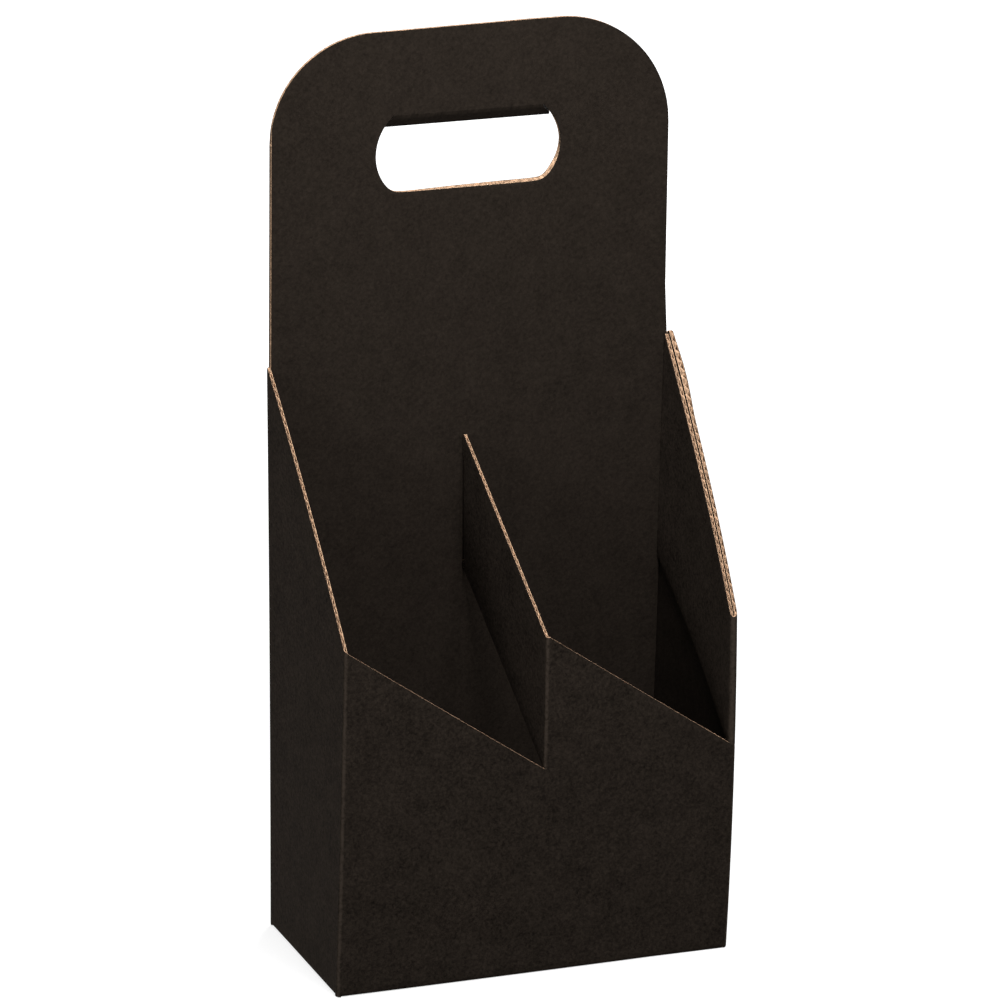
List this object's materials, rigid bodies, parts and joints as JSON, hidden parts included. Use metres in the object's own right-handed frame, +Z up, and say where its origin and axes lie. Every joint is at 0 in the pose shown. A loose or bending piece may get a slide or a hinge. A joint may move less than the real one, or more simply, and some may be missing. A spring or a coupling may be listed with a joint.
{
  "type": "bottle carrier box",
  "caption": "Open-topped bottle carrier folded from a sheet of black corrugated board, with side-by-side cells, a tall back panel and a hand hole",
  "frame": {"origin": "on the underside of the base, midway between the outer faces of the front and back panels and of the two side walls", "axes": "+X to the right as seen from the front, +Y from the front panel to the back panel, +Z up along the tall back panel"},
  "size_m": [0.133, 0.0908, 0.298],
  "materials": {
    "black_board": "matte black-faced corrugated board, with bare brown board at its cut edges"
  },
  "bodies": {
    "carrier": {"carrier": "black_board"},
    "handle_flap": {"handle_flap": "black_board"}
  },
  "joints": [
    {"name": "handle_flap_hinge", "type": "hinge", "parent": "carrier", "child": "handle_flap", "pos_m": [0, 0.03355, 0.2674], "axis": [1, 0, 0], "range_deg": [-90, 80]}
  ]
}
